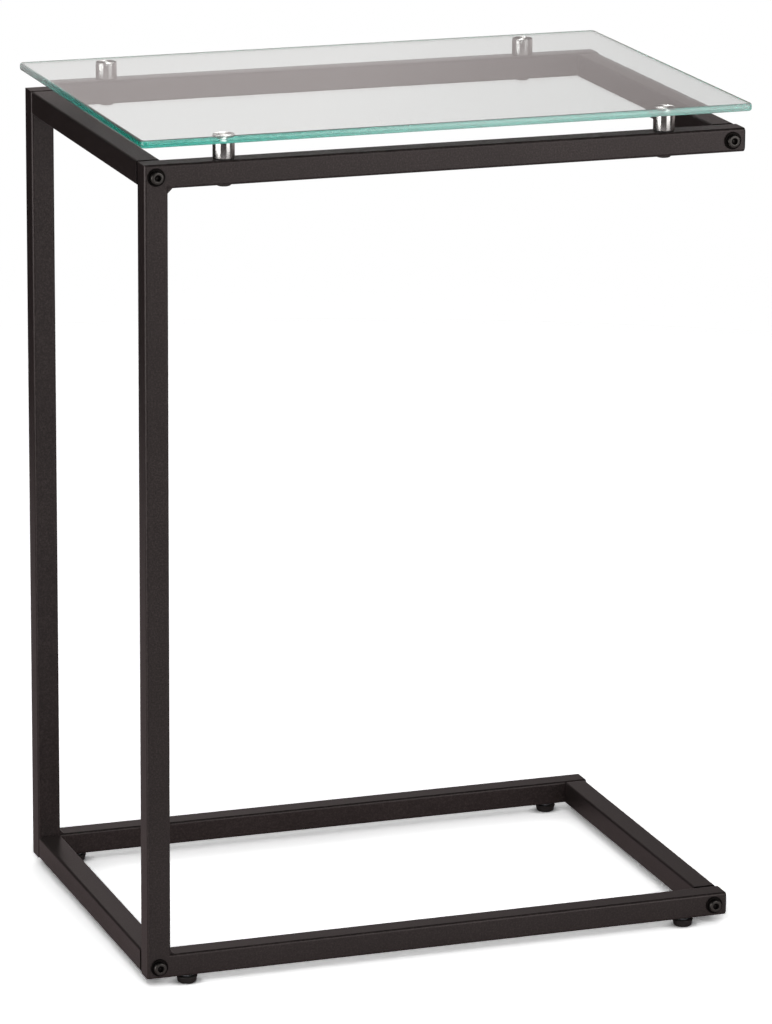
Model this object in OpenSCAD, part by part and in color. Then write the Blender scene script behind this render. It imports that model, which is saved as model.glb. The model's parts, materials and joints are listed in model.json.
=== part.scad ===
// C-shaped side table with a glass top: two welded C frames of square tube, four cross bars bolted
// between them, a clear glass plate on four turned standoffs, and four levelling feet.
// Millimetres, +Z up. The origin is on the floor, under the centre of the glass.
// The uprights are at -X, the free ends of the arms at +X, and the front C frame at -Y.

/* [Glass top] */
// Length of the glass along X
glass_l = 500; // [420:5:640]
// Width of the glass along Y
glass_w = 340; // [280:5:460]
// Thickness of the glass
glass_t = 6; // [5:0.5:10]
// Corner radius of the glass, seen from above
glass_corner_r = 5; // [2:0.5:20]
// Width of the ground arris along every edge of the glass
glass_arris = 0.8; // [0.3:0.1:1.5]
// How far the glass reaches past the C frames at their left and right ends
glass_over_l = 3.5; // [0:0.5:40]
// How far the glass reaches past the C frames at the front and back
glass_over_w = 5; // [0:0.5:40]

/* [Frame] */
// Height of a C frame, from the underside of its bottom arm to the top of its top arm
frame_h = 652; // [400:1:900]
// Side of the square tube
tube = 19; // [18:0.5:25]
// Wall of the square tube
wall = 1.2; // [1:0.1:2]
// Outer corner radius of the square tube
tube_r = 2; // [1.5:0.1:3]
// Leg of the weld bead in each inner corner of a C frame
weld_leg = 4; // [2:0.5:10]

/* [End caps] */
// Thickness of an end cap outside its tube
cap_t = 2; // [1.5:0.1:6]
// Radius of the end cap's outer edge
cap_edge_r = 1.2; // [0.3:0.1:1.8]
// Depth of the end cap's spigot inside its tube
cap_spigot_l = 5; // [2:0.5:6]
// Wall of the end cap's hollow spigot
cap_spigot_wall = 1.8; // [1:0.1:4]

/* [Frame bolts] */
// Thread diameter of the bolts that hold the cross bars
bolt_d = 6; // [4:0.5:8]
// Diameter of the bolt's button head
bolt_head_d = 10.5; // [9:0.5:14]
// Height of the bolt's button head
bolt_head_h = 3.3; // [2.5:0.1:6]
// Height of the straight rim under the head's dome
bolt_rim_h = 0.6; // [0.3:0.1:1]
// Width across flats of the hexagon socket in the bolt's head
bolt_key = 4; // [3:0.5:5]
// Depth of the hexagon socket
bolt_key_depth = 2.1; // [1:0.1:3]
// Outer diameter of the washer under each head
washer_d = 14; // [11:0.5:18]
// Thickness of that washer
washer_t = 1.2; // [0.5:0.1:3]
// Length of thread that each bolt has inside its plug
bolt_engage = 14; // [6:1:18]
// Length of the threaded plug in each end of a cross bar
plug_l = 20; // [15:1:60]

/* [Standoffs] */
// Diameter of a standoff
standoff_d = 17; // [12:0.5:19]
// Height of a standoff, from the arm to the glass
standoff_h = 14; // [12:0.5:40]
// Chamfer round the standoff's foot
standoff_chamfer = 0.8; // [0.2:0.1:2]
// Chamfer round the standoff's top edge
standoff_top_chamfer = 0.3; // [0.1:0.1:1]
// Distance from either end of the C frame to the axis of its standoff
standoff_inset = 66; // [35:1:160]
// Thread diameter of the screws that hold the standoffs
screw_d = 6; // [4:0.5:8]
// Diameter of their low domed heads
screw_head_d = 12; // [10:0.5:16]
// Height of their heads
screw_head_h = 2.2; // [1.8:0.1:5]
// Height of the straight rim under that dome
screw_rim_h = 0.5; // [0.3:0.1:0.8]
// Depth of the hexagon socket in these heads
screw_key_depth = 1.4; // [0.8:0.1:2]
// Length of thread that each screw has inside its standoff
screw_engage = 6; // [4:0.5:10]
// Space between the screw's tip and the end of the standoff's threaded hole
screw_tip_gap = 2; // [0.5:0.1:4]

/* [Levelling feet] */
// Distance from either end of the C frame to the axis of its foot
foot_inset = 35; // [30:1:160]
// Diameter of the pad at its top
pad_d = 17; // [13:0.5:30]
// Diameter of the pad where it stands, before its edge is rounded
pad_base_d = 15; // [13:0.5:30]
// Radius of the pad's lower edge
pad_edge_r = 1.6; // [0.3:0.1:2.5]
// Thickness of the pad's floor under the stud
pad_floor = 1.8; // [1:0.1:6]
// Thickness of the pad's lip over the stud's flange
pad_lip = 2; // [1:0.1:6]
// Thread diameter of the foot's stud
stud_d = 6; // [4:0.5:8]
// Diameter of the round flange that holds the stud in the pad
stud_flange_d = 10; // [8.5:0.5:11]
// Thickness of that flange
stud_flange_t = 1.6; // [1:0.1:4]
// Width across flats of the stud's hexagon collar
collar_af = 10; // [8:0.5:14]
// Thickness of that collar
collar_t = 1.2; // [1:0.1:6]
// Space between that collar and the tube above it, as the table stands
collar_gap = 1.1; // [0.5:0.1:8]
// Space between the stud's tip and the tube's upper wall, as the table stands
stud_tip_gap = 2; // [0.5:0.1:6]
// Side of the square nut that is welded inside the tube
nut_side = 10; // [9:0.5:12]
// Thickness of that nut
nut_t = 5; // [3:0.5:8]

/* [Fits] */
// Radial clearance of a bolt or screw in a plain hole
hole_clear = 0.3; // [0.15:0.05:1]
// Radial clearance of a thread in its nut, plug or standoff, and of the stud's neck in the pad
thread_clear = 0.06; // [0.04:0.01:0.1]
// Clearance of a plug or spigot on each side, inside its tube
plug_clear = 0.05; // [0.05:0.05:0.2]
// Clearance all round the stud's flange, inside the pad
flange_clear = 0.1; // [0.1:0.05:0.2]

/* [Hidden] */
$fn = 64;

// Sides of the table: -1 is left, front or bottom, and 1 is right, back or top
left = -1;
right = 1;
front = -1;
back = 1;
bottom = -1;
top = 1;

half_tube = tube / 2;
bore_side = tube - 2 * wall;
bore_r = max(tube_r - wall, 0.2);
frame_l = glass_l - 2 * glass_over_l;
frame_d = glass_w - 2 * glass_over_w;
arm_l = frame_l - cap_t;
bar_l = frame_d - 2 * tube;
// Heights, from the floor up
pocket_h = stud_flange_t + 2 * flange_clear;
pad_h = pad_floor + pocket_h + pad_lip;
collar_z = pad_h + flange_clear;
base_z = collar_z + collar_t + collar_gap;
top_z = base_z + frame_h;
glass_z = top_z + standoff_h;
// The end cap's edge radius, kept within its flange's thickness and its tube's corner radius
cap_round = min(cap_edge_r, cap_t - 0.2, tube_r - 0.2);
hole_r = bolt_d / 2 + hole_clear;
// How far a cut runs past the face that it opens
cut = 1;
arc_steps = 5;

// The middle of a tube's section at the bottom or top of the frame
function axis_z(level) = level == top ? top_z - half_tube : base_z + half_tube;
// The middle of a C frame's tubes, at the front or back
function axis_y(side) = side * (frame_d / 2 - half_tube);
// The axis of the bolts and the middle of the cross bar, at the left or right
function bar_x(end) = end == left ? -frame_l / 2 + half_tube : frame_l / 2 - cap_t - half_tube;
// The axis of something set in by a distance from the left or right end of a C frame
function inset_x(end, inset) = end * (frame_l / 2 - inset);
// The points of an arc round a centre, from one angle to another
function arc(cx, cy, r, from, to) = [
    for (i = [0 : arc_steps])
        let (a = from + (to - from) * i / arc_steps) [cx + r * cos(a), cy + r * sin(a)]
];

// The outline of a square tube or plug, centred, with true round corners
module rounded_square(side, r) {
    square([side - 2 * r, side], center = true);
    square([side, side - 2 * r], center = true);
    for (x = [-1, 1], y = [-1, 1])
        translate([x * (side / 2 - r), y * (side / 2 - r)]) circle(r = r);
}

// A flat plate with round corners, centred, whose edge follows a list of [inset, height] points
module edged_plate(l, w, r, edge) {
    rim = [for (p = edge) [r - p[0], p[1]]];
    low = edge[0][1];
    high = edge[len(edge) - 1][1];
    for (turn = [0, 90]) {
        run = turn == 0 ? l : w;
        across = turn == 0 ? w : l;
        near = [for (p = edge) [across / 2 - p[0], p[1]]];
        far = [for (i = [len(edge) - 1 : -1 : 0]) [edge[i][0] - across / 2, edge[i][1]]];
        rotate([90, 0, 90 + turn])
            translate([0, 0, r - run / 2])
                linear_extrude(run - 2 * r) polygon(concat(near, far));
    }
    for (x = [-1, 1], y = [-1, 1])
        translate([x * (l / 2 - r), y * (w / 2 - r), 0])
            rotate_extrude() polygon(concat([[0, low]], rim, [[0, high]]));
}

// A length of tube along +Z
module tube_length(l) {
    linear_extrude(l) difference() {
        rounded_square(tube, tube_r);
        rounded_square(bore_side, bore_r);
    }
}

// The waste of a mitre in the corner of a C frame, whose outer corner is the origin. The
// corner's arm runs along +X and its upright along -Z. The waste is the upright's side or the
// arm's side of the diagonal.
module mitre_waste(upright_side) {
    far = tube + cut;
    third = upright_side ? [-cut, -far] : [far, cut];
    rotate([90, 0, 0])
        linear_extrude(tube + 2 * cut, center = true) polygon([[-cut, cut], [far, -far], third]);
}

// Moves a piece that is drawn at the top left corner of a C frame to one of its two corners
module at_corner(side, level) {
    translate([-frame_l / 2, axis_y(side), level == top ? top_z : base_z])
        mirror([0, 0, level == top ? 0 : 1]) children();
}

// The two bolt holes at the ends of an arm, drawn from its corner
module arm_bolt_holes() {
    for (x = [half_tube, arm_l - half_tube])
        translate([x, 0, -half_tube])
            rotate([90, 0, 0]) cylinder(r = hole_r, h = tube + 2 * cut, center = true);
}

module arm(side, level) {
    inset = level == top ? standoff_inset : foot_inset;
    drill_r = (level == top ? screw_d : stud_d) / 2 + hole_clear;
    // A top arm is drilled through for its standoff screws, a bottom arm through its floor only
    drill_l = level == top ? tube + cut : wall + cut;
    color([0.19, 0.18, 0.18]) at_corner(side, level) difference() {
        translate([0, 0, -half_tube]) rotate([90, 0, 90]) tube_length(arm_l);
        mitre_waste(true);
        arm_bolt_holes();
        for (x = [inset, frame_l - inset])
            translate([x, 0, -drill_l]) cylinder(r = drill_r, h = drill_l + cut);
    }
}

module upright(side) {
    color([0.19, 0.18, 0.18]) difference() {
        translate([bar_x(left), axis_y(side), base_z]) tube_length(frame_h);
        for (level = [bottom, top]) at_corner(side, level) {
            mitre_waste(false);
            arm_bolt_holes();
        }
    }
}

// The weld beads in the two inner corners of a C frame
module welds(side) {
    color([0.16, 0.15, 0.15]) for (level = [bottom, top]) at_corner(side, level)
        translate([tube, 0, -tube])
            rotate([90, 0, 0])
                linear_extrude(tube - 2 * tube_r, center = true)
                    polygon([[0, 0], [weld_leg, 0], [0, -weld_leg]]);
}

module crossbar(end, level) {
    color([0.19, 0.18, 0.18])
        translate([bar_x(end), -bar_l / 2, axis_z(level)])
            rotate([-90, 0, 0]) tube_length(bar_l);
}

// The threaded plugs in the two ends of a cross bar
module plugs(end, level) {
    color([0.55, 0.55, 0.57]) for (side = [front, back])
        translate([bar_x(end), side * bar_l / 2, axis_z(level)])
            rotate([side * 90, 0, 0]) difference() {
                linear_extrude(plug_l) rounded_square(bore_side - 2 * plug_clear, bore_r);
                translate([0, 0, -cut]) cylinder(r = bolt_d / 2 + thread_clear, h = plug_l + 2 * cut);
            }
}

module end_cap(side, level) {
    edge = concat([[0, 0]], arc(cap_round, cap_t - cap_round, cap_round, 180, 90));
    spigot = bore_side - 2 * plug_clear;
    color([0.13, 0.13, 0.13])
        translate([frame_l / 2 - cap_t, axis_y(side), axis_z(level)])
            rotate([90, 0, 90]) {
                edged_plate(tube, tube, tube_r, edge);
                translate([0, 0, -cap_spigot_l]) linear_extrude(cap_spigot_l) difference() {
                    rounded_square(spigot, bore_r);
                    square(spigot - 2 * cap_spigot_wall, center = true);
                }
            }
}

// A domed head with a hexagon socket, standing on z = 0 and opening upwards
module socket_head(d, h, rim_h, key, key_depth) {
    dome = h - rim_h;
    dome_r = (d * d / 4 + dome * dome) / (2 * dome);
    difference() {
        intersection() {
            cylinder(d = d, h = h);
            translate([0, 0, h - dome_r]) sphere(r = dome_r);
        }
        translate([0, 0, h - key_depth]) cylinder(d = key / cos(30), h = key_depth + cut, $fn = 6);
    }
}

// Places children at the eight frame bolts, with +Z pointing out of the table
module at_frame_bolts() {
    for (end = [left, right], side = [front, back], level = [bottom, top])
        translate([bar_x(end), side * frame_d / 2, axis_z(level)])
            rotate([-side * 90, 0, 0]) children();
}

module frame_bolts() {
    color([0.12, 0.12, 0.12]) at_frame_bolts() translate([0, 0, washer_t]) {
        socket_head(bolt_head_d, bolt_head_h, bolt_rim_h, bolt_key, bolt_key_depth);
        translate([0, 0, -washer_t - tube - bolt_engage])
            cylinder(d = bolt_d, h = washer_t + tube + bolt_engage);
    }
}

module frame_washers() {
    color([0.15, 0.15, 0.15]) at_frame_bolts() difference() {
        cylinder(d = washer_d, h = washer_t);
        translate([0, 0, -cut]) cylinder(r = hole_r, h = washer_t + 2 * cut);
    }
}

module glass_top() {
    edge = [[glass_arris, 0], [0, glass_arris], [0, glass_t - glass_arris], [glass_arris, glass_t]];
    color([0.72, 0.88, 0.84, 0.45])
        translate([0, 0, glass_z]) edged_plate(glass_l, glass_w, glass_corner_r, edge);
}

module standoff(end, side) {
    r = standoff_d / 2;
    color([0.78, 0.78, 0.78])
        translate([inset_x(end, standoff_inset), axis_y(side), top_z]) difference() {
            rotate_extrude() polygon([
                [0, 0], [r - standoff_chamfer, 0], [r, standoff_chamfer],
                [r, standoff_h - standoff_top_chamfer], [r - standoff_top_chamfer, standoff_h],
                [0, standoff_h]
            ]);
            translate([0, 0, -cut])
                cylinder(r = screw_d / 2 + thread_clear, h = cut + screw_engage + screw_tip_gap);
        }
}

// The four screws that come up through the top arms into the standoffs
module standoff_screws() {
    color([0.12, 0.12, 0.12]) for (end = [left, right], side = [front, back])
        translate([inset_x(end, standoff_inset), axis_y(side), top_z - tube]) {
            cylinder(d = screw_d, h = tube + screw_engage);
            mirror([0, 0, 1])
                socket_head(screw_head_d, screw_head_h, screw_rim_h, bolt_key, screw_key_depth);
        }
}

// Places children on the floor, on the axis of one foot
module at_foot(end, side) {
    translate([inset_x(end, foot_inset), axis_y(side), 0]) children();
}

module foot_nut(end, side) {
    color([0.6, 0.6, 0.62]) at_foot(end, side) translate([0, 0, base_z + wall]) difference() {
        translate([0, 0, nut_t / 2]) cube([nut_side, nut_side, nut_t], center = true);
        translate([0, 0, -cut]) cylinder(r = stud_d / 2 + thread_clear, h = nut_t + 2 * cut);
    }
}

module foot_stud(end, side) {
    flange_z = pad_floor + flange_clear;
    tip_z = base_z + tube - wall - stud_tip_gap;
    color([0.62, 0.62, 0.64]) at_foot(end, side) {
        translate([0, 0, flange_z]) cylinder(d = stud_flange_d, h = stud_flange_t);
        translate([0, 0, flange_z]) cylinder(d = stud_d, h = tip_z - flange_z);
        translate([0, 0, collar_z]) cylinder(d = collar_af / cos(30), h = collar_t, $fn = 6);
    }
}

module foot_pad(end, side) {
    lower_edge = arc(pad_base_d / 2 - pad_edge_r, pad_edge_r, pad_edge_r, -90, 0);
    color([0.1, 0.1, 0.1]) at_foot(end, side) difference() {
        rotate_extrude() polygon(concat([[0, 0]], lower_edge, [[pad_d / 2, pad_h], [0, pad_h]]));
        translate([0, 0, pad_floor]) cylinder(r = stud_flange_d / 2 + flange_clear, h = pocket_h);
        translate([0, 0, pad_floor]) cylinder(r = stud_d / 2 + thread_clear, h = pad_h);
    }
}

glass_top();
standoff(left, front);  // standoff_front_left
standoff(right, front);  // standoff_front_right
standoff(left, back);  // standoff_back_left
standoff(right, back);  // standoff_back_right
standoff_screws();
arm(front, top);  // front_top_arm
upright(front);  // front_upright
arm(front, bottom);  // front_bottom_arm
welds(front);  // front_welds
arm(back, top);  // back_top_arm
upright(back);  // back_upright
arm(back, bottom);  // back_bottom_arm
welds(back);  // back_welds
crossbar(left, top);  // top_left_crossbar
crossbar(right, top);  // top_right_crossbar
crossbar(left, bottom);  // bottom_left_crossbar
crossbar(right, bottom);  // bottom_right_crossbar
plugs(left, top);  // top_left_plugs
plugs(right, top);  // top_right_plugs
plugs(left, bottom);  // bottom_left_plugs
plugs(right, bottom);  // bottom_right_plugs
end_cap(front, top);  // end_cap_front_top
end_cap(front, bottom);  // end_cap_front_bottom
end_cap(back, top);  // end_cap_back_top
end_cap(back, bottom);  // end_cap_back_bottom
frame_bolts();
frame_washers();
foot_nut(left, front);  // foot_nut_front_left
foot_nut(right, front);  // foot_nut_front_right
foot_nut(left, back);  // foot_nut_back_left
foot_nut(right, back);  // foot_nut_back_right
foot_stud(left, front);  // foot_stud_front_left
foot_stud(right, front);  // foot_stud_front_right
foot_stud(left, back);  // foot_stud_back_left
foot_stud(right, back);  // foot_stud_back_right
foot_pad(left, front);  // foot_pad_front_left
foot_pad(right, front);  // foot_pad_front_right
foot_pad(left, back);  // foot_pad_back_left
foot_pad(right, back);  // foot_pad_back_right
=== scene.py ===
# C-shaped side table with a clear glass top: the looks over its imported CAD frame, in metres.
# Pieces are worked out in millimetres at their own place, and moved onto the frame's nodes.
import json
import math

import bmesh
import bpy
import numpy as np
from mathutils import Matrix, Vector


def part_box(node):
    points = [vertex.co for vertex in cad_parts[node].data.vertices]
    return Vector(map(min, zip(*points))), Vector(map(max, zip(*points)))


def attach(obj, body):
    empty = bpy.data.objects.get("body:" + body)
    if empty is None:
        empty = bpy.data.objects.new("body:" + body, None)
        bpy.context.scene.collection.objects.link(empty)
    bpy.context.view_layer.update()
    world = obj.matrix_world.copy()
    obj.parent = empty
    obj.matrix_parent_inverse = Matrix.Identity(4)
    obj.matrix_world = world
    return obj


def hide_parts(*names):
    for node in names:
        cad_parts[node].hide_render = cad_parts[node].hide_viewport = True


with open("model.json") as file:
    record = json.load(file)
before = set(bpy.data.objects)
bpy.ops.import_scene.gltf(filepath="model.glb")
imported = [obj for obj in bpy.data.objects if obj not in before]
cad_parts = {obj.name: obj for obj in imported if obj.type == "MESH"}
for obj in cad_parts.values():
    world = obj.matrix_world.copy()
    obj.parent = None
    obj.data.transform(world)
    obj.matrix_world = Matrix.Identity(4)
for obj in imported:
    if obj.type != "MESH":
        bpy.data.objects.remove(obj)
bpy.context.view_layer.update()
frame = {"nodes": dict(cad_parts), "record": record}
nodes = frame["nodes"]
mm = 0.001
sides = ("front", "back")
ends = ("left", "right")
levels = ("bottom", "top")
random = np.random.default_rng(7)
print("frame loaded:", len(nodes), "nodes")


# A rounded rectangle seen from above: an arc in each corner, with one more point at the hold's distance
# before and after it, so that the flat sides stay flat when they are shaded smooth. A hold in a profile is
# there for the same reason.
def roundedOutline(length, width, radius, perCorner=10, hold=0.25):
    quarter = np.concatenate([[0], np.linspace(0, 90, perCorner), [90]])
    angle = np.radians(90 * np.arange(4)[:, None] + quarter)
    slide = np.concatenate([[-hold], np.zeros(perCorner), [hold]])
    centre = np.array([[1, 1], [-1, 1], [-1, -1], [1, -1]]) * [length / 2 - radius, width / 2 - radius]
    x = centre[:, :1] + radius * np.cos(angle) - slide * np.sin(angle)
    y = centre[:, 1:] + radius * np.sin(angle) + slide * np.cos(angle)
    return np.stack([x.ravel(), y.ravel()], axis=1)


# A round outline: a point in each direction at the radius, which may differ from direction to direction.
def roundOutline(radius, angle):
    return np.column_stack([radius * np.cos(angle), radius * np.sin(angle)])


# Rings of points from outlines and the height of each.
def stackedRings(outlines):
    return np.stack([np.column_stack([outline, np.full(len(outline), height)])
                     for outline, height in outlines])


# Equal steps of angle, once round.
def roundAngles(around):
    return np.linspace(0, 2 * np.pi, around, endpoint=False)


# Rings of points for a turned shape: each (radius, height) of the profile goes round the Z axis.
def turnedRings(profile, around=64):
    angle = roundAngles(around)
    return stackedRings([(roundOutline(radius, angle), height) for radius, height in profile])


# The radius of a hexagon in a direction: half its width across flats over the cosine of the angle
# between the direction and the nearest flat's middle.
def hexRadius(angle, acrossFlats):
    return acrossFlats / 2 / np.cos((angle + np.pi / 6) % (np.pi / 3) - np.pi / 6)


# The points of a round edge in a profile: centre plus radius in each direction from one angle to another.
def arcPoints(x, y, radius, start, end, steps=6):
    angle = np.radians(np.linspace(start, end, steps))
    return np.stack([x + radius * np.cos(angle), y + radius * np.sin(angle)], axis=1)


# Moves rings from a piece's own axes, given as rows, to its place on the table, in metres.
def placed(rings, origin, axes=((1, 0, 0), (0, 1, 0), (0, 0, 1))):
    return rings * mm @ np.array(axes, float) + np.array(origin, float)


# Makes one mesh from skins. A skin is rings of points: point j of ring i joins its neighbours in the ring
# and in the next ring, the first and last ring are closed with a flat face, or the last ring joins the
# first. Its bands say which material the faces after a ring have, where that isn't the first one. Its UV
# map gives the turns round a ring and the metres along the profile.
def makePiece(name, skins, materials, body, replaced, sharpAngle=30):
    points, faces, uvs, finishes, start = [], [], [], [], 0
    for skin in skins:
        rings, loop, bands = skin["rings"], skin.get("loop", False), skin.get("bands", {})
        count, around = rings.shape[:2]
        i = np.arange(count if loop else count - 1)[:, None]
        j = np.arange(around)[None, :]
        low, high, right = i * around, (i + 1) % count * around, (j + 1) % around
        quads = np.stack([low + j, low + right, high + right, high + j], axis=-1).reshape(-1, 4) + start
        step = np.linalg.norm(np.roll(rings, -1, axis=0) - rings, axis=2).mean(axis=1)
        along = np.concatenate([[0], np.cumsum(step)])
        u0, v0 = np.broadcast_arrays(j / around, along[i])
        u1, v1 = np.broadcast_arrays((j + 1) / around, along[i + 1])
        uvs.append(np.stack([u0, v0, u1, v0, u1, v1, u0, v1], axis=-1).reshape(-1, 2))
        faces += quads.tolist()
        finishes += np.repeat([bands.get(band, 0) for band in range(len(i))], around).tolist()
        for ring in () if loop else (0, count - 1):
            faces.append((np.arange(around) + ring * around + start).tolist())
            uvs.append(np.stack([np.arange(around) / around, np.full(around, along[ring])], axis=1))
            finishes.append(0)
        points.append(rings.reshape(-1, 3))
        start += count * around
    mesh = bpy.data.meshes.new(name)
    mesh.from_pydata(np.concatenate(points), [], faces)
    mesh.uv_layers.new(name="UVMap").data.foreach_set("uv", np.concatenate(uvs).astype(np.float32).ravel())
    mesh.polygons.foreach_set("material_index", np.array(finishes, np.int32))
    for material in materials:
        mesh.materials.append(material)
    shell = bmesh.new()
    shell.from_mesh(mesh)
    bmesh.ops.recalc_face_normals(shell, faces=shell.faces)
    shell.to_mesh(mesh)
    shell.free()
    mesh.shade_smooth()
    mesh.set_sharp_from_angle(angle=math.radians(sharpAngle))
    piece = bpy.data.objects.new(name, mesh)
    bpy.context.scene.collection.objects.link(piece)
    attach(piece, body)
    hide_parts(*replaced)
    return piece


# A colour written as sRGB hex, as the linear colour that shaders take.
def toLinear(code):
    values = np.array([int(code[k:k + 2], 16) for k in (1, 3, 5)]) / 255
    linear = np.where(values <= 0.04045, values / 12.92, ((values + 0.055) / 1.055) ** 2.4)
    return (*linear.tolist(), 1.0)


# Gives a node's sockets their values, or links them where a value is another node's output.
def setSockets(tree, node, sockets):
    for key, value in sockets.items():
        if isinstance(value, bpy.types.NodeSocket):
            tree.links.new(value, node.inputs[key])
        else:
            node.inputs[key].default_value = value


# Adds a node with its properties and its sockets.
def addNode(tree, kind, properties=None, sockets=None):
    node = tree.nodes.new(kind)
    for key, value in (properties or {}).items():
        setattr(node, key, value)
    setSockets(tree, node, sockets or {})
    return node


smooth = {"interpolation_type": "SMOOTHSTEP"}     # for a Map Range node that eases in and out
colourMix = {"data_type": "RGBA"}                 # for a Mix node that mixes colours
white = (1, 1, 1, 1)


# Colour stops on a Color Ramp node, given as (position, hex).
def setStops(ramp, stops):
    stopList = ramp.color_ramp.elements
    while len(stopList) < len(stops):
        stopList.new(0.5)
    for stop, (position, code) in zip(stopList, stops):
        stop.position = position
        stop.color = toLinear(code)


# A new material with its node tree, its shader and its texture coordinates, ready for detail.
def newFinish(name):
    material = bpy.data.materials.new(name)
    material.use_nodes = True
    tree = material.node_tree
    return material, tree, tree.nodes["Principled BSDF"], addNode(tree, "ShaderNodeTexCoord")


# Roughness and bump that follow one noise, over the span of it that shows.
def addRelief(tree, shader, noise, settings, span=(0.3, 0.7)):
    rough = addNode(tree, "ShaderNodeMapRange", sockets={
        "Value": noise, "From Min": span[0], "From Max": span[1],
        "To Min": settings["roughness"][0], "To Max": settings["roughness"][1]})
    bump = addNode(tree, "ShaderNodeBump", sockets={
        "Height": noise, "Strength": settings["bump"], "Distance": settings["depth"] * mm})
    setSockets(tree, shader, {"Roughness": rough.outputs["Result"], "Normal": bump.outputs["Normal"]})


# Powder coat: the grain's colour times the colour of wide, faint clouds. Its mirror light is tinted.
def powderFinish(settings):
    material, tree, shader, coords = newFinish(settings["name"])
    grain = addNode(tree, "ShaderNodeTexNoise", sockets={
        "Vector": coords.outputs["Object"], "Scale": 1 / (settings["grainSize"] * mm), "Detail": 3.0,
        "Roughness": 0.6})
    clouds = addNode(tree, "ShaderNodeTexNoise", sockets={
        "Vector": coords.outputs["Object"], "Scale": 1 / (settings["cloudSize"] * mm), "Detail": 2.0})
    speckle = addNode(tree, "ShaderNodeValToRGB", sockets={"Fac": grain.outputs["Fac"]})
    setStops(speckle, settings["grainStops"])
    tone = addNode(tree, "ShaderNodeValToRGB", sockets={"Fac": clouds.outputs["Fac"]})
    setStops(tone, settings["cloudStops"])
    colour = addNode(tree, "ShaderNodeMix", {**colourMix, "blend_type": "MULTIPLY"}, {
        "Factor": 1.0, "A": speckle.outputs["Color"], "B": tone.outputs["Color"]})
    addRelief(tree, shader, grain.outputs["Fac"], settings)
    setSockets(tree, shader, {"Base Color": colour.outputs["Result"],
                              "Specular Tint": toLinear(settings["mirrorTint"])})
    return material


# Metal or plastic with a fine grain: colour, roughness and bump follow one noise.
def grainFinish(settings):
    material, tree, shader, coords = newFinish(settings["name"])
    grain = addNode(tree, "ShaderNodeTexNoise", sockets={
        "Vector": coords.outputs["Object"], "Scale": 1 / (settings["grainSize"] * mm),
        "Detail": settings["detail"]})
    tint = addNode(tree, "ShaderNodeValToRGB", sockets={"Fac": grain.outputs["Fac"]})
    setStops(tint, settings["stops"])
    addRelief(tree, shader, grain.outputs["Fac"], settings)
    setSockets(tree, shader, {"Base Color": tint.outputs["Color"], "Metallic": settings["metallic"]})
    return material


# Turned metal: the grooves are a noise that is long round the axis, with a few marks to a turn, and as
# short as the feed along the profile.
def turnedFinish(settings):
    material, tree, shader, coords = newFinish(settings["name"])
    groove = addNode(tree, "ShaderNodeMapping", sockets={
        "Vector": coords.outputs["UV"],
        "Scale": (settings["marksPerTurn"], 1 / (settings["feed"] * mm), 1.0)})
    marks = addNode(tree, "ShaderNodeTexNoise", sockets={
        "Vector": groove.outputs["Vector"], "Scale": 1.0, "Detail": 3.0, "Roughness": 0.7})
    tint = addNode(tree, "ShaderNodeValToRGB", sockets={"Fac": marks.outputs["Fac"]})
    setStops(tint, settings["stops"])
    tangent = addNode(tree, "ShaderNodeTangent", {"direction_type": "UV_MAP", "uv_map": "UVMap"})
    addRelief(tree, shader, marks.outputs["Fac"], settings)
    setSockets(tree, shader, {
        "Base Color": tint.outputs["Color"], "Tangent": tangent.outputs["Tangent"], "Metallic": 1.0,
        "Anisotropic": settings["anisotropy"],
        "Anisotropic Rotation": 0.25})     # a quarter turn: light spreads across the grooves
    return material


# Glass with a stretched ripple. The share of light that it lets straight through falls, along each listed
# axis, from 1 at the first place to the last number at the second, and the least of them counts. Where it
# falls, the glass is painted paler, standing in for light that falls on it.
# The absorption colours what light is left by the way that it goes inside.
def glassFinish(settings):
    material, tree, shader, coords = newFinish(settings["name"])
    stretch = addNode(tree, "ShaderNodeMapping", sockets={
        "Vector": coords.outputs["Object"], "Scale": settings["grainScale"]})
    grain = addNode(tree, "ShaderNodeTexNoise", sockets={
        "Vector": stretch.outputs["Vector"], "Scale": 1.0, "Detail": 2.0})
    parts = addNode(tree, "ShaderNodeSeparateXYZ", sockets={"Vector": coords.outputs["Object"]})
    clear = 1.0
    for axis, (start, end, least) in settings["paintedLightMatt"].items():
        share = addNode(tree, "ShaderNodeMapRange", smooth, {
            "Value": parts.outputs[axis], "From Min": start, "From Max": end, "To Min": 1.0,
            "To Max": least})
        clear = addNode(tree, "ShaderNodeMath", {"operation": "MINIMUM"}, {
            0: clear, 1: share.outputs["Result"]}).outputs["Value"]
    mass = addNode(tree, "ShaderNodeVolumeAbsorption", sockets={
        "Color": (*settings["absorption"], 1.0), "Density": settings["density"]})
    addRelief(tree, shader, grain.outputs["Fac"], settings, (0.35, 0.65))
    setSockets(tree, shader, {"Base Color": toLinear(settings["tint"]), "Transmission Weight": clear,
                              "IOR": 1.52})
    setSockets(tree, tree.nodes["Material Output"], {"Volume": mass.outputs["Volume"]})
    return material


# Polyester powder coat, sprayed and baked over mild steel. The eye gets a matt black with a warm cast and
# a fine orange-peel grain. A real grain of 0.3 mm is drawn 1.3 mm coarse, so that it shows.
powderCoat = powderFinish({
    "name": "powderCoatedSteel", "grainSize": 1.3, "cloudSize": 60.0, "roughness": (0.3, 0.42),
    "grainStops": [(0.32, "#181514"), (0.5, "#25201f"), (0.68, "#37302f")],
    "cloudStops": [(0.3, "#e6e6e6"), (0.7, "#ffffff")], "bump": 0.5, "depth": 0.15,
    "mirrorTint": "#fff0ef"})

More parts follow.
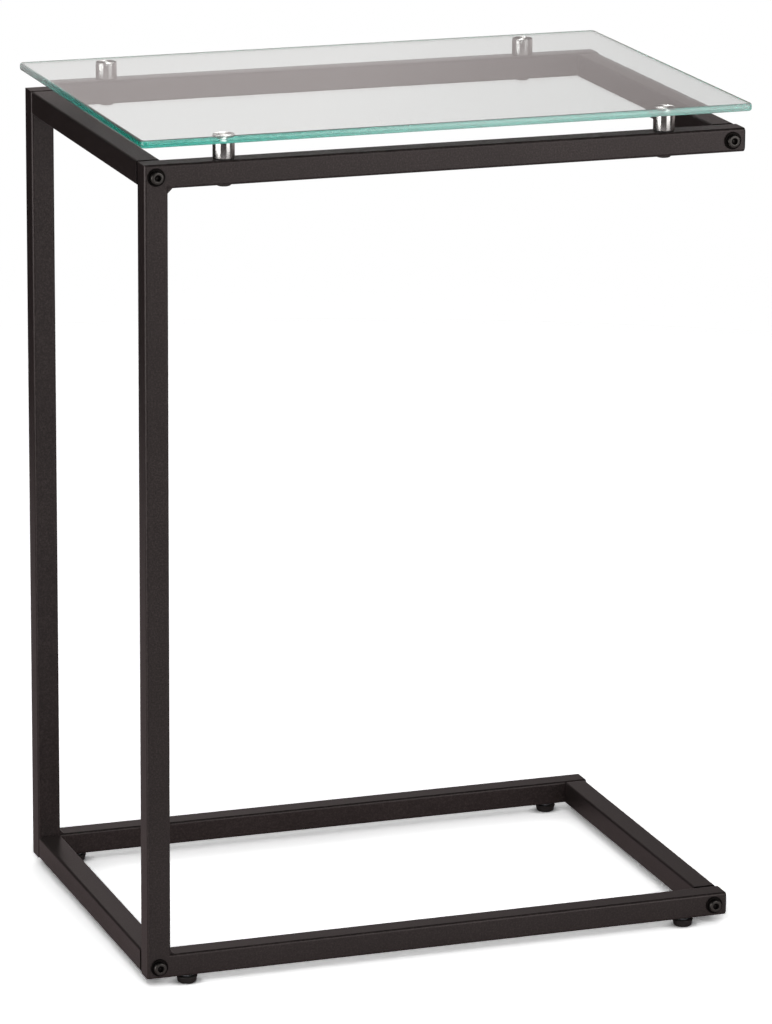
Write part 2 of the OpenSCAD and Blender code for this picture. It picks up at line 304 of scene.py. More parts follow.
# Alloy steel, headed and blacked in a hot oxide bath. The eye gets a dark grey with a soft gleam on the
# heads' domes.
blackOxide = grainFinish({
    "name": "blackOxideSteel", "grainSize": 0.8, "detail": 4.0, "roughness": (0.3, 0.45),
    "stops": [(0.3, "#494644"), (0.7, "#5a5754")], "bump": 0.15, "depth": 0.05, "metallic": 1.0})

# The same oxide made near black. On the stamped washers it is drawn darker than on the heads; in the
# sockets and on the stepped-in tube ends at the joints it is painted shade. The eye gets a near black.
oxideAndPaintedShade = grainFinish({
    "name": "blackOxideAndPaintedShade", "grainSize": 0.8, "detail": 4.0, "roughness": (0.4, 0.55),
    "stops": [(0.3, "#171514"), (0.7, "#221f1e")], "bump": 0.15, "depth": 0.05, "metallic": 1.0})

# Mild steel, turned, threaded and bright zinc plated. The eye gets a pale, slightly blue silver.
zincPlate = grainFinish({
    "name": "zincPlatedSteel", "grainSize": 1.5, "detail": 4.0, "roughness": (0.25, 0.4),
    "stops": [(0.3, "#a9adb2"), (0.7, "#c4c7cb")], "bump": 0.2, "depth": 0.05, "metallic": 1.0})

# Stainless bar, turned on a lathe and polished. The eye gets long streaks along the barrel, from fine
# grooves that run round the axis. Grooves of 0.1 mm feed are drawn 0.4 mm apart, so that they show.
turnedStainless = turnedFinish({
    "name": "turnedStainless", "feed": 0.4, "marksPerTurn": 3.0, "roughness": (0.22, 0.26),
    "anisotropy": 0.9, "stops": [(0.3, "#d0cdca"), (0.7, "#e0dedc")], "bump": 0.08, "depth": 0.02})

# The same bar faced off, under the bond to the glass. Its colour is the barrel's drawn darker, painted
# shade. The eye gets a bright bow-tie on a grey disc.
facedStainlessPaintedShade = turnedFinish({
    "name": "facedStainlessPaintedShade", "feed": 0.4, "marksPerTurn": 3.0, "roughness": (0.26, 0.3),
    "anisotropy": 0.95, "stops": [(0.3, "#767472"), (0.7, "#82807e")], "bump": 0.08, "depth": 0.02})

# Soda-lime float glass: its faces as they left the tin bath. The eye gets clear faces with a faint ripple,
# over a mass that its iron turns green, weakly through the 6 mm and strongly along the plate.
clearGlass = glassFinish({
    "name": "clearFloatGlass", "grainScale": (14, 14, 14), "roughness": (0.0, 0.004), "bump": 0.03,
    "depth": 0.5, "tint": "#ffffff", "paintedLightMatt": {}, "absorption": (0.046, 0.92, 0.83), "density": 6.5})

# The same glass with its edge ground to a pencil shape and polished. The eye gets a green band with fine
# streaks along it, painted paler at the right, at the back and near its top: a painted highlight where
# light falls on the edge.
groundGlass = glassFinish({
    "name": "groundGlassEdge", "grainScale": (180, 180, 3000), "roughness": (0.1, 0.15), "bump": 0.04,
    "depth": 0.05, "tint": "#fbfffd",
    "paintedLightMatt": {"X": (-0.27, 0.05, 0.68), "Y": (0.03, 0.15, 0.35), "Z": (0.6782, 0.6796, 0.82)},
    "absorption": (0.046, 0.92, 0.83), "density": 6.5})

# Nylon, injection moulded. The eye gets a soft black with a faint spark-eroded grain from the mould.
mouldedNylon = grainFinish({
    "name": "mouldedNylon", "grainSize": 0.9, "detail": 3.0, "roughness": (0.42, 0.58),
    "stops": [(0.3, "#191716"), (0.7, "#262322")], "bump": 0.35, "depth": 0.1, "metallic": 0.0})

finishOfSlot = {"black_powder_coat": powderCoat, "black_oxide_steel": blackOxide,
                "zinc_steel": zincPlate, "turned_stainless": turnedStainless,
                "clear_glass": clearGlass, "black_plastic": mouldedNylon}
for subpart in frame["record"]["subparts"]:
    for place in nodes[subpart["node"]].material_slots:
        place.material = finishOfSlot[subpart["material_slot"]]
print("finishes made:", len(bpy.data.materials))


# The middle of a node's box and its lowest and highest corners, in metres.
def boxOf(node):
    low, high = (np.array(corner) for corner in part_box(node))
    return (low + high) / 2, low, high


# The glass plate: its outline is carried up the pencil-ground edge, drawn in at a height z from the middle by
# depth * (1 - (1 - |z / half thickness|^power)^(1 / power)).
glassPlate = {"cornerRadius": 4.5, "perCorner": 14, "edgeDepth": 1.5, "power": 2.4, "edgeRings": 15,
              "flat": 0.5, "sharpAngle": 60}


def makeGlass(settings):
    middle, low, high = boxOf("glass_top")
    length, width, thick = (high - low) / mm
    depth, power, flat = settings["edgeDepth"], settings["power"], settings["flat"]
    level = np.sin(np.linspace(-np.pi / 2, np.pi / 2, settings["edgeRings"]))
    inset = depth * (1 - (1 - np.abs(level) ** power) ** (1 / power))
    inset = np.concatenate([[depth + flat], inset, [depth + flat]])
    height = thick / 2 * (1 + np.concatenate([[-1], level, [1]]))
    rings = stackedRings([
        (roundedOutline(length - 2 * i, width - 2 * i, settings["cornerRadius"] - i,
                        settings["perCorner"], flat), h) for i, h in zip(inset, height)])
    edge = {band: 1 for band in range(1, settings["edgeRings"])}
    return makePiece("glassPlate", [{"rings": placed(rings, (*middle[:2], low[2])), "bands": edge}],
                     [clearGlass, groundGlass], "frame", ["glass_top"],
                     settings["sharpAngle"])


glass = makeGlass(glassPlate)
glass.visible_shadow = False     # soft light passes the clear plate
print("glass plate made")

# A standoff: a turned barrel on a thin nylon washer, with a faced top that is bonded to the glass, so it is
# a hair inside the plate. Its profile starts and ends in a small flat centre. The barrel's chamfers are
# softened a little at their corners.
standoff = {"radius": 8.5, "height": 14.02, "washer": 0.7, "washerRadius": 8.1, "washerEdge": 0.1,
            "undercut": 0.3, "gap": 0.05, "footChamfer": 0.4, "footSoft": 0.05, "topChamfer": 0.3,
            "topSoft": 0.03, "hold": 0.15, "faceShares": (0.6, 0.3), "centre": 0.4, "around": 96}


def makeStandoff(side, end, settings):
    node = f"standoff_{side}_{end}"
    middle, low = boxOf(node)[:2]
    r, h, hold, centre = (settings[k] for k in ("radius", "height", "hold", "centre"))
    foot, footSoft, top, topSoft = (settings[k] for k in (
        "footChamfer", "footSoft", "topChamfer", "topSoft"))
    w, wide, edge = settings["washer"], settings["washerRadius"], settings["washerEdge"]
    neck = wide - settings["undercut"]
    washerPart = [(centre, 0), (wide - edge, 0), (wide, edge), (wide, w - edge), (neck, w - settings["gap"])]
    barrel = [(neck, w), (r - foot, w), (r - footSoft, w + foot - footSoft), (r, w + foot + hold), (r, h / 2),
              (r, h - top - hold), (r - topSoft, h - top), (r - top, h - topSoft)]
    face = [(r - top - hold, h), *[(r * share, h) for share in settings["faceShares"]], (centre, h)]
    profile = washerPart + barrel + face
    bands = {band: 2 for band in range(len(washerPart))}
    # The faced top's bands take the darker faced finish, which is painted shade.
    bands.update({band: 1 for band in range(len(profile) - len(face), len(profile) - 1)})
    rings = placed(turnedRings(profile, settings["around"]), (*middle[:2], low[2]))
    return makePiece(f"standoff{side.title()}{end.title()}", [{"rings": rings, "bands": bands}],
                     [turnedStainless, facedStainlessPaintedShade, mouldedNylon], "frame", [node])


standoffGroup = bpy.data.collections.new("standoffGroup")
for side in sides:
    for end in ends:
        standoffGroup.objects.link(makeStandoff(side, end, standoff))
print("standoffs made")

frameBolt = {"headDiameter": 10.5, "headHeight": 3.3, "rim": 0.6, "power": 14, "key": 4.0, "keyDepth": 2.1,
             "shank": 6.0, "shankLength": 34.2}
standoffScrew = {"headDiameter": 12.0, "headHeight": 2.2, "rim": 0.5, "power": 6, "key": 4.0,
                 "keyDepth": 1.4, "shank": 6.0, "shankLength": 25.0}

# What both heads share. The land goes from the socket's corners to the dome. The socket's floor has rows of
# (share of the hexagon, height over the floor), with the drill's dip first. Its mouth has rows of (growth,
# height from the dome's inner edge), and the rim's round edge has rows of (inset, height over the seat).
headForm = {"around": 48, "domeRings": 9, "land": 0.65, "floor": [(0.15, -0.35), (0.94, 0), (1, 0.15)],
            "mouth": [(0, -0.5), (0.4, -0.08)], "rimDrop": 0.15, "edge": [(0, 0.25), (0.2, 0.02), (0.4, 0)],
            "neck": 0.15, "chamfer": 0.8, "centre": 0.4}


# A head with a hexagon socket on its shank, seated on z = 0 and opening upwards, turned by the spin. Each
# ring blends from a hexagon to a circle: the socket's floor and mouth are hexagons, and the dome widens
# them to the rim. The dome's height over the rim is its full height times the square root of
# 1 - (radius / rim radius)^power. The socket's bands take the near-black oxide: painted shade in the
# hole.
def headSkin(settings, form, spin, seat, axes):
    r, h, rim = settings["headDiameter"] / 2, settings["headHeight"], settings["rim"]
    body, length = settings["shank"] / 2, settings["shankLength"]
    neck, chamfer = form["neck"], form["chamfer"]
    inner = hexRadius(0, settings["key"]) + form["land"]
    across = inner + (r - inner) * np.sin(np.linspace(0, np.pi / 2, form["domeRings"]))
    fall = (h - rim) * (1 - np.sqrt(1 - (across / r) ** settings["power"]))
    angle = roundAngles(form["around"])
    hexagon = hexRadius(angle, settings["key"])
    floor = h - settings["keyDepth"]
    profile = [(share * hexagon, floor + z) for share, z in form["floor"]]
    profile += [(hexagon + out, h - fall[0] + z) for out, z in form["mouth"]]
    socketShade = {band: 1 for band in range(len(profile))}
    for blend, radius, drop in zip(np.linspace(0.5, 1, form["domeRings"]), across, fall):
        profile.append(((1 - blend) * (hexagon + radius - hexagon.mean()) + blend * radius, h - drop))
    profile += [(r, rim - form["rimDrop"]), *[(r - i, z) for i, z in form["edge"]], (body + neck, 0),
                (body, -neck), (body, chamfer - length), (body - chamfer, -length), (form["centre"], -length)]
    rings = stackedRings([(roundOutline(radius, angle + spin), z) for radius, z in profile])
    return {"rings": placed(rings, seat, axes), "bands": socketShade}


# The rows that stand a piece's own Z along a direction of the table, with its X along the table's X.
def axesAlong(direction):
    z = np.array(direction, float)
    x = np.array((1.0, 0.0, 0.0))
    return np.stack([x, np.cross(z, x), z])


washer = {"outer": 7.0, "inner": 3.3, "thickness": 1.2, "edge": 0.35, "bevel": 0.2}


# Bolts and washers at both ends of each cross bar, pointing out of the front and the back.
def makeFrameBolts(bolt, ring):
    t, o, i, e, b = (ring[k] for k in ("thickness", "outer", "inner", "edge", "bevel"))
    section = np.concatenate([arcPoints(o - e, e, e, -90, 0, 4), arcPoints(o - e, t - e, e, 0, 90, 4),
                              [(i + b, t), (i, t - b), (i, b), (i + b, 0)]])
    heads, rings = [], []
    for level in levels:
        for end in ends:
            x, z = boxOf(f"{level}_{end}_crossbar")[0][[0, 2]]
            for side, out in zip(sides, (-1, 1)):
                armLow, armHigh = boxOf(f"{side}_{level}_arm")[1:]
                face = np.array((x, (armLow if side == "front" else armHigh)[1], z))
                axes = axesAlong((0, out, 0))
                seat = face + np.array((0, out, 0)) * t * mm
                spin = random.uniform(0, math.pi / 3)
                heads.append(headSkin(bolt, headForm, spin, seat, axes))
                rings.append({"rings": placed(turnedRings(section), face, axes), "loop": True})
    makePiece("frameBolts", heads, [blackOxide, oxideAndPaintedShade], "frame", ["frame_bolts"])
    makePiece("frameWashers", rings, [oxideAndPaintedShade], "frame", ["frame_washers"])


makeFrameBolts(frameBolt, washer)


# Screws up through the top arms into the standoffs, with their heads under the arms.
def makeStandoffScrews(settings):
    heads = []
    for side in sides:
        for end in ends:
            x, y = boxOf(f"standoff_{side}_{end}")[0][:2]
            seat = (x, y, boxOf(f"{side}_top_arm")[1][2])
            spin = random.uniform(0, math.pi / 3)
            heads.append(headSkin(settings, headForm, spin, seat, axesAlong((0, 0, -1))))
    makePiece("standoffScrews", heads, [blackOxide, oxideAndPaintedShade], "frame",
              ["standoff_screws"])


makeStandoffScrews(standoffScrew)
print("bolts, washers and screws made")

# An end cap: a rounded square carried from its outer face over a round edge to its back, then along the
# outside of its hollow spigot and back up the inside.
endCap = {"side": 19.0, "radius": 2.0, "thickness": 2.0, "edgeDeep": 1.8, "edgeWide": 2.4, "edgeRings": 9,
          "cornerGain": 0.6, "spigotSide": 16.5, "spigotRadius": 0.8, "spigotLength": 5.0,
          "spigotWall": 1.8, "spigotBevel": 0.3, "boreRadius": 0.5, "boreEnd": 0.4}


def makeEndCap(side, level, settings):
    node = f"end_cap_{side}_{level}"
    middle, high = boxOf(node)[::2]
    s, r, t, deep, wide = (settings[k] for k in ("side", "radius", "thickness", "edgeDeep", "edgeWide"))
    spigot, corner, length, bevel = (settings[k] for k in (
        "spigotSide", "spigotRadius", "spigotLength", "spigotBevel"))
    bore, boreCorner = spigot - 2 * settings["spigotWall"], settings["boreRadius"]
    edge = arcPoints(1, 0, 1, 90, 180, settings["edgeRings"]) * (wide, deep) + (0, t - deep)
    squares = [(s - 2 * i, r + settings["cornerGain"] * i, h) for i, h in edge]
    squares += [(s, r, 0.0), (spigot, corner, 0.0), (spigot, corner, bevel - length),
                (spigot - 2 * bevel, boreCorner, -length), (bore, boreCorner, -length),
                (bore, boreCorner, -settings["boreEnd"])]
    rings = stackedRings([(roundedOutline(width, width, radius), h) for width, radius, h in squares])
    place = placed(rings, (high[0] - t * mm, *middle[1:]), ((0, 1, 0), (0, 0, 1), (1, 0, 0)))
    return makePiece(f"endCap{side.title()}{level.title()}", [{"rings": place}], [mouldedNylon],
                     "frame", [node])


for side in sides:
    for level in levels:
        makeEndCap(side, level, endCap)

# A cross bar: square tube with its plugs inside. Each end is stepped in, and the step takes the near-black
# oxide: painted shade, which makes a fine dark joint against the arm. The skin runs along the outside and
# back along the inside, and the joint is the last two bands at each end of the outside.
crossBar = {"side": 19.0, "radius": 2.0, "wall": 1.2, "edge": 0.15, "gap": 2.0, "step": 1.1, "hold": 1.0}


def makeCrossBar(level, end, settings):
    node = f"{level}_{end}_crossbar"
    middle, low, high = boxOf(node)
    s, r, wall, e, gap, step, hold = (settings[k] for k in (
        "side", "radius", "wall", "edge", "gap", "step", "hold"))
    half = (high[1] - low[1]) / mm / 2
    insets = [(0, half - gap - hold), *arcPoints(e, half - gap - e, e, 180, 90, 4), (step, half - gap),
              (step, half)]
    outer = [(roundedOutline(s - 2 * i, s - 2 * i, r - i), h) for i, h in insets]
    inner = [(roundedOutline(s - 2 * wall, s - 2 * wall, r - wall), h) for h in (half, -half)]
    outlines = outer + inner + [(outline, -h) for outline, h in outer[::-1]]
    joint = (len(outer) - 3, len(outer) - 2)
    skin = {"rings": placed(stackedRings(outlines), middle, ((1, 0, 0), (0, 0, -1), (0, 1, 0))),
            "loop": True, "bands": {band: 1 for k in joint for band in (k, len(outlines) - 2 - k)}}
    return makePiece(f"crossBar{level.title()}{end.title()}", [skin], [powderCoat, oxideAndPaintedShade],
                     "frame", [node])


for level in levels:
    for end in ends:
        makeCrossBar(level, end, crossBar)
print("cross bars made")

# A weld bead in an inner corner: a triangle whose long side sags, carried across the tube. The sag
# swells and sinks with each puddle of the weld, as the size of a sine wave along the bead. The triangle's
# corner, the root, is just inside the tubes' faces.
weldBead = {"leg": 4.0, "sag": {"top": -0.15, "bottom": 0.5}, "ripple": 0.12, "pitch": 1.7,
            "length": 15.0, "root": -0.3, "sections": 61, "perSection": 9, "sharpAngle": 40}


def makeWelds(side, settings):
    beads = []
    armMiddle = boxOf(f"{side}_top_arm")[0]
    for level in levels:
        middle, low, high = boxOf(f"{level}_left_crossbar")
        down = 1 if level == "bottom" else -1
        corner = (high[0], armMiddle[1], middle[2] + down * (high[2] - low[2]) / 2)
        y = np.linspace(-settings["length"] / 2, settings["length"] / 2, settings["sections"])[:, None]
        t = np.linspace(0, 1, settings["perSection"])[None, :]
        sag = settings["sag"][level] + settings["ripple"] * np.abs(np.sin(np.pi * y / settings["pitch"]))
        pull = sag * np.sin(np.pi * t) * np.ones_like(y)
        root = np.full_like(y, settings["root"])
        run = np.concatenate([settings["leg"] * (1 - t) - pull / math.sqrt(2), root], axis=1)
        rise = np.concatenate([settings["leg"] * t - pull / math.sqrt(2), root], axis=1)
        rings = np.stack([run, y * np.ones_like(run), down * rise], axis=-1)
        beads.append({"rings": placed(rings, corner)})
    return makePiece(f"{side}Welds", beads, [powderCoat], "frame",
                     [f"{side}_welds"], settings["sharpAngle"])


for side in sides:
    makeWelds(side, weldBead)
print("end caps and welds made")

# A foot's pad: turned from its underside over a round edge and up a slightly wider cone, with a pocket
# inside for the stud's flange.
footPad = {"topRadius": 8.5, "baseRadius": 7.5, "edge": 1.6, "height": 5.6, "floor": 1.8, "lip": 2.0,
           "hole": 3.06, "holeBevel": 0.3, "pocket": 5.1, "topEdge": 0.4, "baseHold": 0.1, "topHold": 0.5,
           "centre": 0.4}


def makePad(side, end, settings):
    node = f"foot_pad_{side}_{end}"
    middle, low = boxOf(node)[:2]
    b, e, h, top, small = (settings[k] for k in ("baseRadius", "edge", "height", "topRadius", "topEdge"))
    hole, bevel, pocket, floor, centre = (settings[k] for k in (
        "hole", "holeBevel", "pocket", "floor", "centre"))
    baseHold, topHold = settings["baseHold"], settings["topHold"]
    lid = h - settings["lip"]
    slope = (top - b) / (h - e)
    profile = [(centre, 0), (b - e - baseHold, 0), *arcPoints(b - e, e, e, -90, 0, 8),
               (top - slope * topHold, h - topHold), *arcPoints(top - small, h - small, small, 0, 90, 5),
               (hole + bevel, h), (hole, h - bevel), (hole, lid), (pocket, lid), (pocket, floor),
               (centre, floor)]
    rings = placed(turnedRings(profile), (*middle[:2], low[2]))
    return makePiece(f"footPad{side.title()}{end.title()}", [{"rings": rings}], [mouldedNylon],
                     node, [node])


# A foot's stud: a flange, a neck, a hexagon collar and a thread. The collar's radius is the hexagon's, cut
# off by a chamfer's circle at its ends. The thread's radius falls and rises once a pitch, and its
# crest climbs one pitch a turn. It starts after two rings on the collar, given as (growth, height), and
# fades out below the tip.
footStud = {"radius": 3.0, "flangeRadius": 5.0, "flangeLow": 1.9, "flangeHigh": 3.5, "collarLow": 5.7,
            "collarHigh": 6.9, "collarFlats": 10.0, "collarChamfer": 0.15, "tip": 23.8, "tipRadius": 1.9,
            "neck": [(0.05, 0), (-0.2, 0.1)], "pitch": 1.0, "threadDepth": 0.45, "threadRings": 132,
            "threadStart": 0.2, "threadEnd": 0.7, "fade": 0.8, "bevel": 0.2, "centre": 0.4, "around": 48}


def makeStud(side, end, settings):
    node = f"foot_stud_{side}_{end}"
    middle = boxOf(node)[0]
    r, f, low, high = (settings[k] for k in ("radius", "flangeRadius", "flangeLow", "flangeHigh"))
    bottom, top, tip, bevel = (settings[k] for k in ("collarLow", "collarHigh", "tip", "bevel"))
    angle = roundAngles(settings["around"])
    collar = hexRadius(angle, settings["collarFlats"])
    chamfer = np.minimum(collar, settings["collarFlats"] / 2 + settings["collarChamfer"])
    below = [(settings["centre"], low), (f - bevel, low), (f, low + bevel), (f, high - bevel),
             (f - bevel, high), (r, high), (r, bottom), (chamfer, bottom), (collar, bottom + bevel),
             (collar, top - bevel), (chamfer, top), *[(r + out, top + h) for out, h in settings["neck"]]]
    last = tip - settings["threadEnd"]
    z = np.linspace(top + settings["threadStart"], last, settings["threadRings"])[:, None]
    fade = np.clip((last - z) / settings["fade"], 0, 1)
    wave = 0.5 - 0.5 * np.cos(2 * np.pi * (z / settings["pitch"] - angle / (2 * np.pi)))
    thread = r - settings["threadDepth"] * (wave * fade + (1 - fade))
    profile = below + [(radius, h[0]) for radius, h in zip(thread, z)]
    profile += [(settings["tipRadius"], tip), (settings["centre"], tip)]
    place = placed(stackedRings([(roundOutline(radius, angle), h) for radius, h in profile]),
                   (*middle[:2], 0))
    return makePiece(f"footStud{side.title()}{end.title()}", [{"rings": place}], [zincPlate],
                     node, [node])


for side in sides:
    for end in ends:
        makePad(side, end, footPad)
        makeStud(side, end, footStud)
print("feet made")

# The studio. The wall's stops run from straight down, over the horizon at 0.5, to straight up. The tilt adds
# its third number to a direction's place on them where X is under its first, and its fourth where X is over
# its second, so that the wall fades sooner at the right. Within the left span the left's colour goes over to
# the wall's, and within the front span the front's goes over to the back's. The floor's stops run over its
# span from front to back. Its white is for rays through the glass, then for the camera. The contact goes
# from its last number to 1 while the occlusion, which is 1 in the open, goes from its first to its second.
studio = {"ambient": 0.3, "front": "#352f2f", "frontSpan": (-0.5, 0.1), "horizon": 0.02,
          "wallTilt": (0.24, 0.44, -0.04, 0.1),
          "wallStops": [(0.5, "#302727"), (0.54, "#d1c6c5"), (0.61, "#d1c6c5"), (0.67, "#a59b9a"),
                        (0.72, "#665e5e"), (0.76, "#434141"), (0.825, "#272727")],
          "left": "#272727", "leftSpan": (-0.2, 0.0),
          "floorRadius": 2.5, "floorDrop": 0.0001, "fadeSpan": (0.9, 2.4), "floorSpan": (-1.5, 2.0),
          "floorStops": [(0.286, "#bfbcbc"), (0.343, "#dedbdb"), (0.366, "#dedbdb"), (0.383, "#bcabab"),
                         (0.57, "#c0b0b0"), (0.8, "#cdbdbd"), (0.97, "#9a8a8a")],
          "floorWhite": (1.95, 2.25), "contactReach": 10, "contact": (0.4, 0.66, 0.35)}


# White all round for the camera. Mirrored in the table it is a dim room: a pale wall at the back that
# fades upwards, and sooner at the right, a warm dark floor beyond the sweep, and dark in front, overhead and
# at the left above the horizon. Rays through the glass see the same above the horizon and white below it.
# Others get a plain soft light.
def makeWorld(settings):
    world = bpy.data.worlds.new("studioWorld")
    bpy.context.scene.world = world
    world.use_nodes = True
    tree = world.node_tree
    ray = addNode(tree, "ShaderNodeLightPath")
    coords = addNode(tree, "ShaderNodeTexCoord")
    parts = addNode(tree, "ShaderNodeSeparateXYZ", sockets={"Vector": coords.outputs["Generated"]})
    left, right, down, up = settings["wallTilt"]
    tilt = addNode(tree, "ShaderNodeMapRange", sockets={
        "Value": parts.outputs["X"], "From Min": left, "From Max": right, "To Min": down, "To Max": up})
    height = addNode(tree, "ShaderNodeMath", {"operation": "MULTIPLY_ADD"}, {
        0: parts.outputs["Z"], 1: 0.5, 2: 0.5})
    height = addNode(tree, "ShaderNodeMath", sockets={0: height.outputs[0], 1: tilt.outputs["Result"]})
    wall = addNode(tree, "ShaderNodeValToRGB", sockets={"Fac": height.outputs[0]})
    setStops(wall, settings["wallStops"])
    above = addNode(tree, "ShaderNodeMapRange", smooth, {
        "Value": parts.outputs["Z"], "From Min": -settings["horizon"], "From Max": settings["horizon"]})
    beside = addNode(tree, "ShaderNodeMapRange", smooth, {
        "Value": parts.outputs["X"], "From Min": settings["leftSpan"][0],
        "From Max": settings["leftSpan"][1], "To Min": above.outputs["Result"], "To Max": 0.0})
    back = addNode(tree, "ShaderNodeMix", colourMix, {
        "Factor": beside.outputs["Result"], "A": wall.outputs["Color"], "B": toLinear(settings["left"])})
    facing = addNode(tree, "ShaderNodeMapRange", smooth, {
        "Value": parts.outputs["Y"], "From Min": settings["frontSpan"][0],
        "From Max": settings["frontSpan"][1]})
    mirrored = addNode(tree, "ShaderNodeMix", colourMix, {
        "Factor": facing.outputs["Result"], "A": toLinear(settings["front"]), "B": back.outputs["Result"]})
    through = addNode(tree, "ShaderNodeMix", colourMix, {
        "Factor": above.outputs["Result"], "A": white, "B": mirrored.outputs["Result"]})
    seen = (*[settings["ambient"]] * 3, 1)
    for kind, look in (("Is Glossy Ray", mirrored.outputs["Result"]),
                       ("Is Transmission Ray", through.outputs["Result"]), ("Is Camera Ray", white)):
        seen = addNode(tree, "ShaderNodeMix", colourMix, {
            "Factor": ray.outputs[kind], "A": seen, "B": look}).outputs["Result"]
    setSockets(tree, tree.nodes["Background"], {"Color": seen})


# A pale floor under the table that keeps its shadow. Mirrored in the table it has stripes from front to
# back. Through the glass and for the camera it is more than white, so that only the shadow close to the
# table shows, which its own occlusion deepens within a few millimetres of the feet. It fades out with the
# distance from the middle, where the white world carries on.
def makeFloor(settings):
    mesh = bpy.data.meshes.new("studioFloor")
    corners = np.array([(-1, -1, 0), (1, -1, 0), (1, 1, 0), (-1, 1, 0)]) * settings["floorRadius"]
    mesh.from_pydata(corners - (0, 0, settings["floorDrop"]), [], [(0, 1, 2, 3)])
    floor = bpy.data.objects.new("studioFloor", mesh)
    bpy.context.scene.collection.objects.link(floor)
    material, tree, shader, coords = newFinish("whiteSweepPaper")
    tree.nodes.remove(shader)
    ray = addNode(tree, "ShaderNodeLightPath")
    away = addNode(tree, "ShaderNodeVectorMath", {"operation": "LENGTH"}, {0: coords.outputs["Object"]})
    fade = addNode(tree, "ShaderNodeMapRange", smooth, {
        "Value": away.outputs["Value"], "From Min": settings["fadeSpan"][0],
        "From Max": settings["fadeSpan"][1]})
    parts = addNode(tree, "ShaderNodeSeparateXYZ", sockets={"Vector": coords.outputs["Object"]})
    beyond = addNode(tree, "ShaderNodeMapRange", sockets={
        "Value": parts.outputs["Y"], "From Min": settings["floorSpan"][0],
        "From Max": settings["floorSpan"][1]})
    stripes = addNode(tree, "ShaderNodeValToRGB", sockets={"Fac": beyond.outputs["Result"]})
    setStops(stripes, settings["floorStops"])
    seen = stripes.outputs["Color"]
    for kind, level in zip(("Is Transmission Ray", "Is Camera Ray"), settings["floorWhite"]):
        seen = addNode(tree, "ShaderNodeMix", colourMix, {
            "Factor": ray.outputs[kind], "A": seen, "B": (level, level, level, 1)}).outputs["Result"]
    nearby = addNode(tree, "ShaderNodeAmbientOcclusion", {"samples": 16}, {
        "Distance": settings["contactReach"] * mm})
    deep, free, least = settings["contact"]
    contact = addNode(tree, "ShaderNodeMapRange", sockets={
        "Value": nearby.outputs["AO"], "From Min": deep, "From Max": free, "To Min": least})
    shade = addNode(tree, "ShaderNodeVectorMath", {"operation": "SCALE"}, {
        0: seen, "Scale": contact.outputs["Result"]})
    paper = addNode(tree, "ShaderNodeBsdfDiffuse", sockets={"Color": shade.outputs["Vector"]})
    clear = addNode(tree, "ShaderNodeBsdfTransparent")
    mix = addNode(tree, "ShaderNodeMixShader", sockets={
        0: fade.outputs["Result"], 1: paper.outputs["BSDF"], 2: clear.outputs["BSDF"]})
    setSockets(tree, tree.nodes["Material Output"], {"Surface": mix.outputs["Shader"]})
    mesh.materials.append(material)


# Soft boxes: where each stands, where it points, its size in metres, its power in watts, and whether it
# lights the table, is mirrored in it, or is mirrored in the standoffs alone. The high one behind the
# standoffs makes the bow-ties on their tops.
softBoxes = {
    "key": {"at": (-0.84, -2.37, 1.6), "to": (0, 0, 0.15), "size": (2.4, 1.8), "power": 52,
            "use": "lights"},
    "fill": {"at": (0.4, 2.2, 2.4), "to": (0, 0, 0.4), "size": (2.0, 1.6), "power": 9, "use": "lights"},
    "backPanel": {"at": (0.16, 0.45, 2.08), "to": (0, 0, 0.68), "size": (0.45, 0.5), "power": 80,
                  "use": "standoffs"},
    "frontPanel": {"at": (1.36, -2.67, 0.9), "to": (0, 0, 0.9), "size": (1.95, 1.7), "power": 23,
                   "use": "mirrored"},
    "leftPanel": {"at": (-2.4, -0.6, 0.6), "to": (0, 0, 0.6), "size": (2.3, 1.1), "power": 32,
                  "use": "mirrored"}}


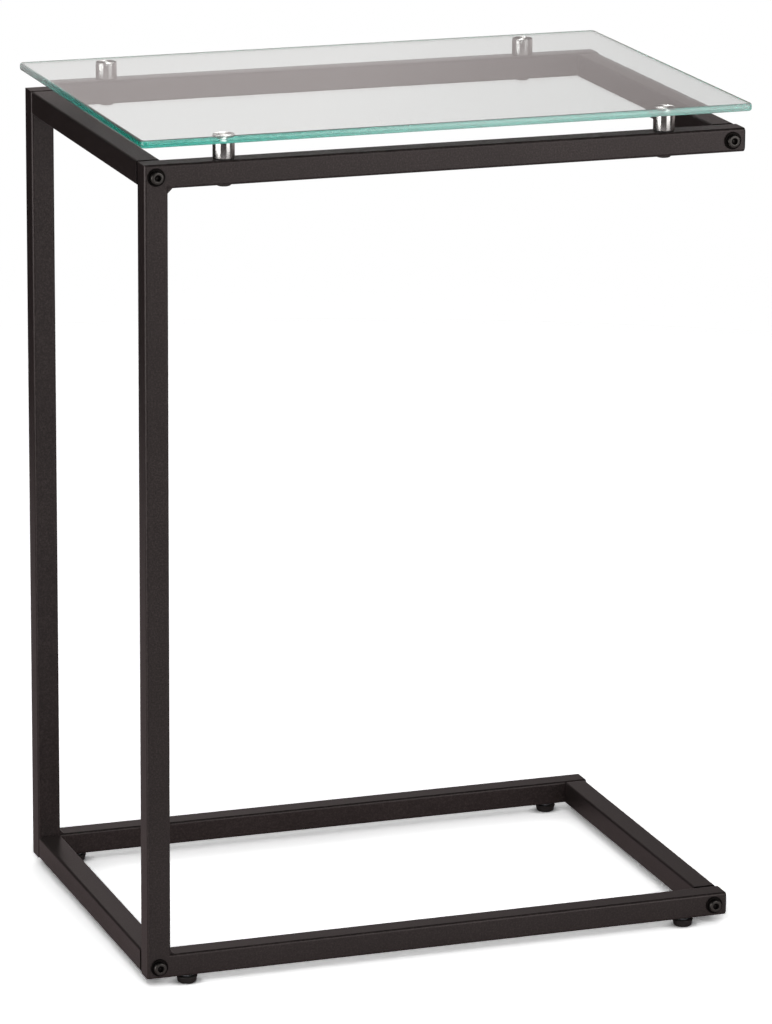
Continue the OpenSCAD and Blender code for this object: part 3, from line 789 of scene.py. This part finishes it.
def makeSoftBoxes(boxes):
    for name, settings in boxes.items():
        lamp = bpy.data.lights.new(name, "AREA")
        lamp.shape = "RECTANGLE"
        lamp.size, lamp.size_y = settings["size"]
        lamp.energy = settings["power"]
        box = bpy.data.objects.new(name, lamp)
        box.location = settings["at"]
        aim = Vector(settings["to"]) - Vector(settings["at"])
        box.rotation_euler = aim.to_track_quat("-Z", "Y").to_euler()
        box.visible_camera = False
        box.visible_transmission = False
        box.visible_diffuse = settings["use"] == "lights"
        box.visible_glossy = settings["use"] != "lights"
        if settings["use"] == "standoffs":
            box.light_linking.receiver_collection = standoffGroup
        bpy.context.scene.collection.objects.link(box)


# The photograph's camera: turned to the right, tipped down and rolled a little, and its lens.
photoCamera = {"yaw": 19.5851, "pitch": 15.2683, "roll": 0.4251, "lens": 191.16, "sensor": 36,
               "farthest": 100, "at": (-1.421744, -4.018121, 1.489345)}


def makeCamera(settings):
    yaw, pitch, roll = (math.radians(settings[k]) for k in ("yaw", "pitch", "roll"))
    forward = Vector((math.sin(yaw) * math.cos(pitch), math.cos(yaw) * math.cos(pitch), -math.sin(pitch)))
    right = Vector((math.cos(yaw), -math.sin(yaw), 0))
    up = right.cross(forward)
    x = math.cos(roll) * right + math.sin(roll) * up
    y = math.cos(roll) * up - math.sin(roll) * right
    lens = bpy.data.cameras.new("photoCamera")
    lens.lens = settings["lens"]
    lens.sensor_width = settings["sensor"]
    lens.clip_end = settings["farthest"]
    camera = bpy.data.objects.new("photoCamera", lens)
    camera.matrix_world = Matrix.Translation(settings["at"]) @ Matrix((x, y, -forward)).transposed().to_4x4()
    bpy.context.scene.collection.objects.link(camera)
    bpy.context.scene.camera = camera


# Light runs through the plate in many short steps. The glass's own bright spots on the floor are left out.
lightPaths = {"max_bounces": 32, "glossy_bounces": 24, "transmission_bounces": 24, "diffuse_bounces": 4,
              "caustics_refractive": False, "caustics_reflective": False, "use_denoising": True}

makeWorld(studio)
makeFloor(studio)
makeSoftBoxes(softBoxes)
makeCamera(photoCamera)
scene = bpy.context.scene
scene.view_settings.view_transform = "Standard"
for key, value in lightPaths.items():
    setattr(scene.cycles, key, value)
print("studio made")
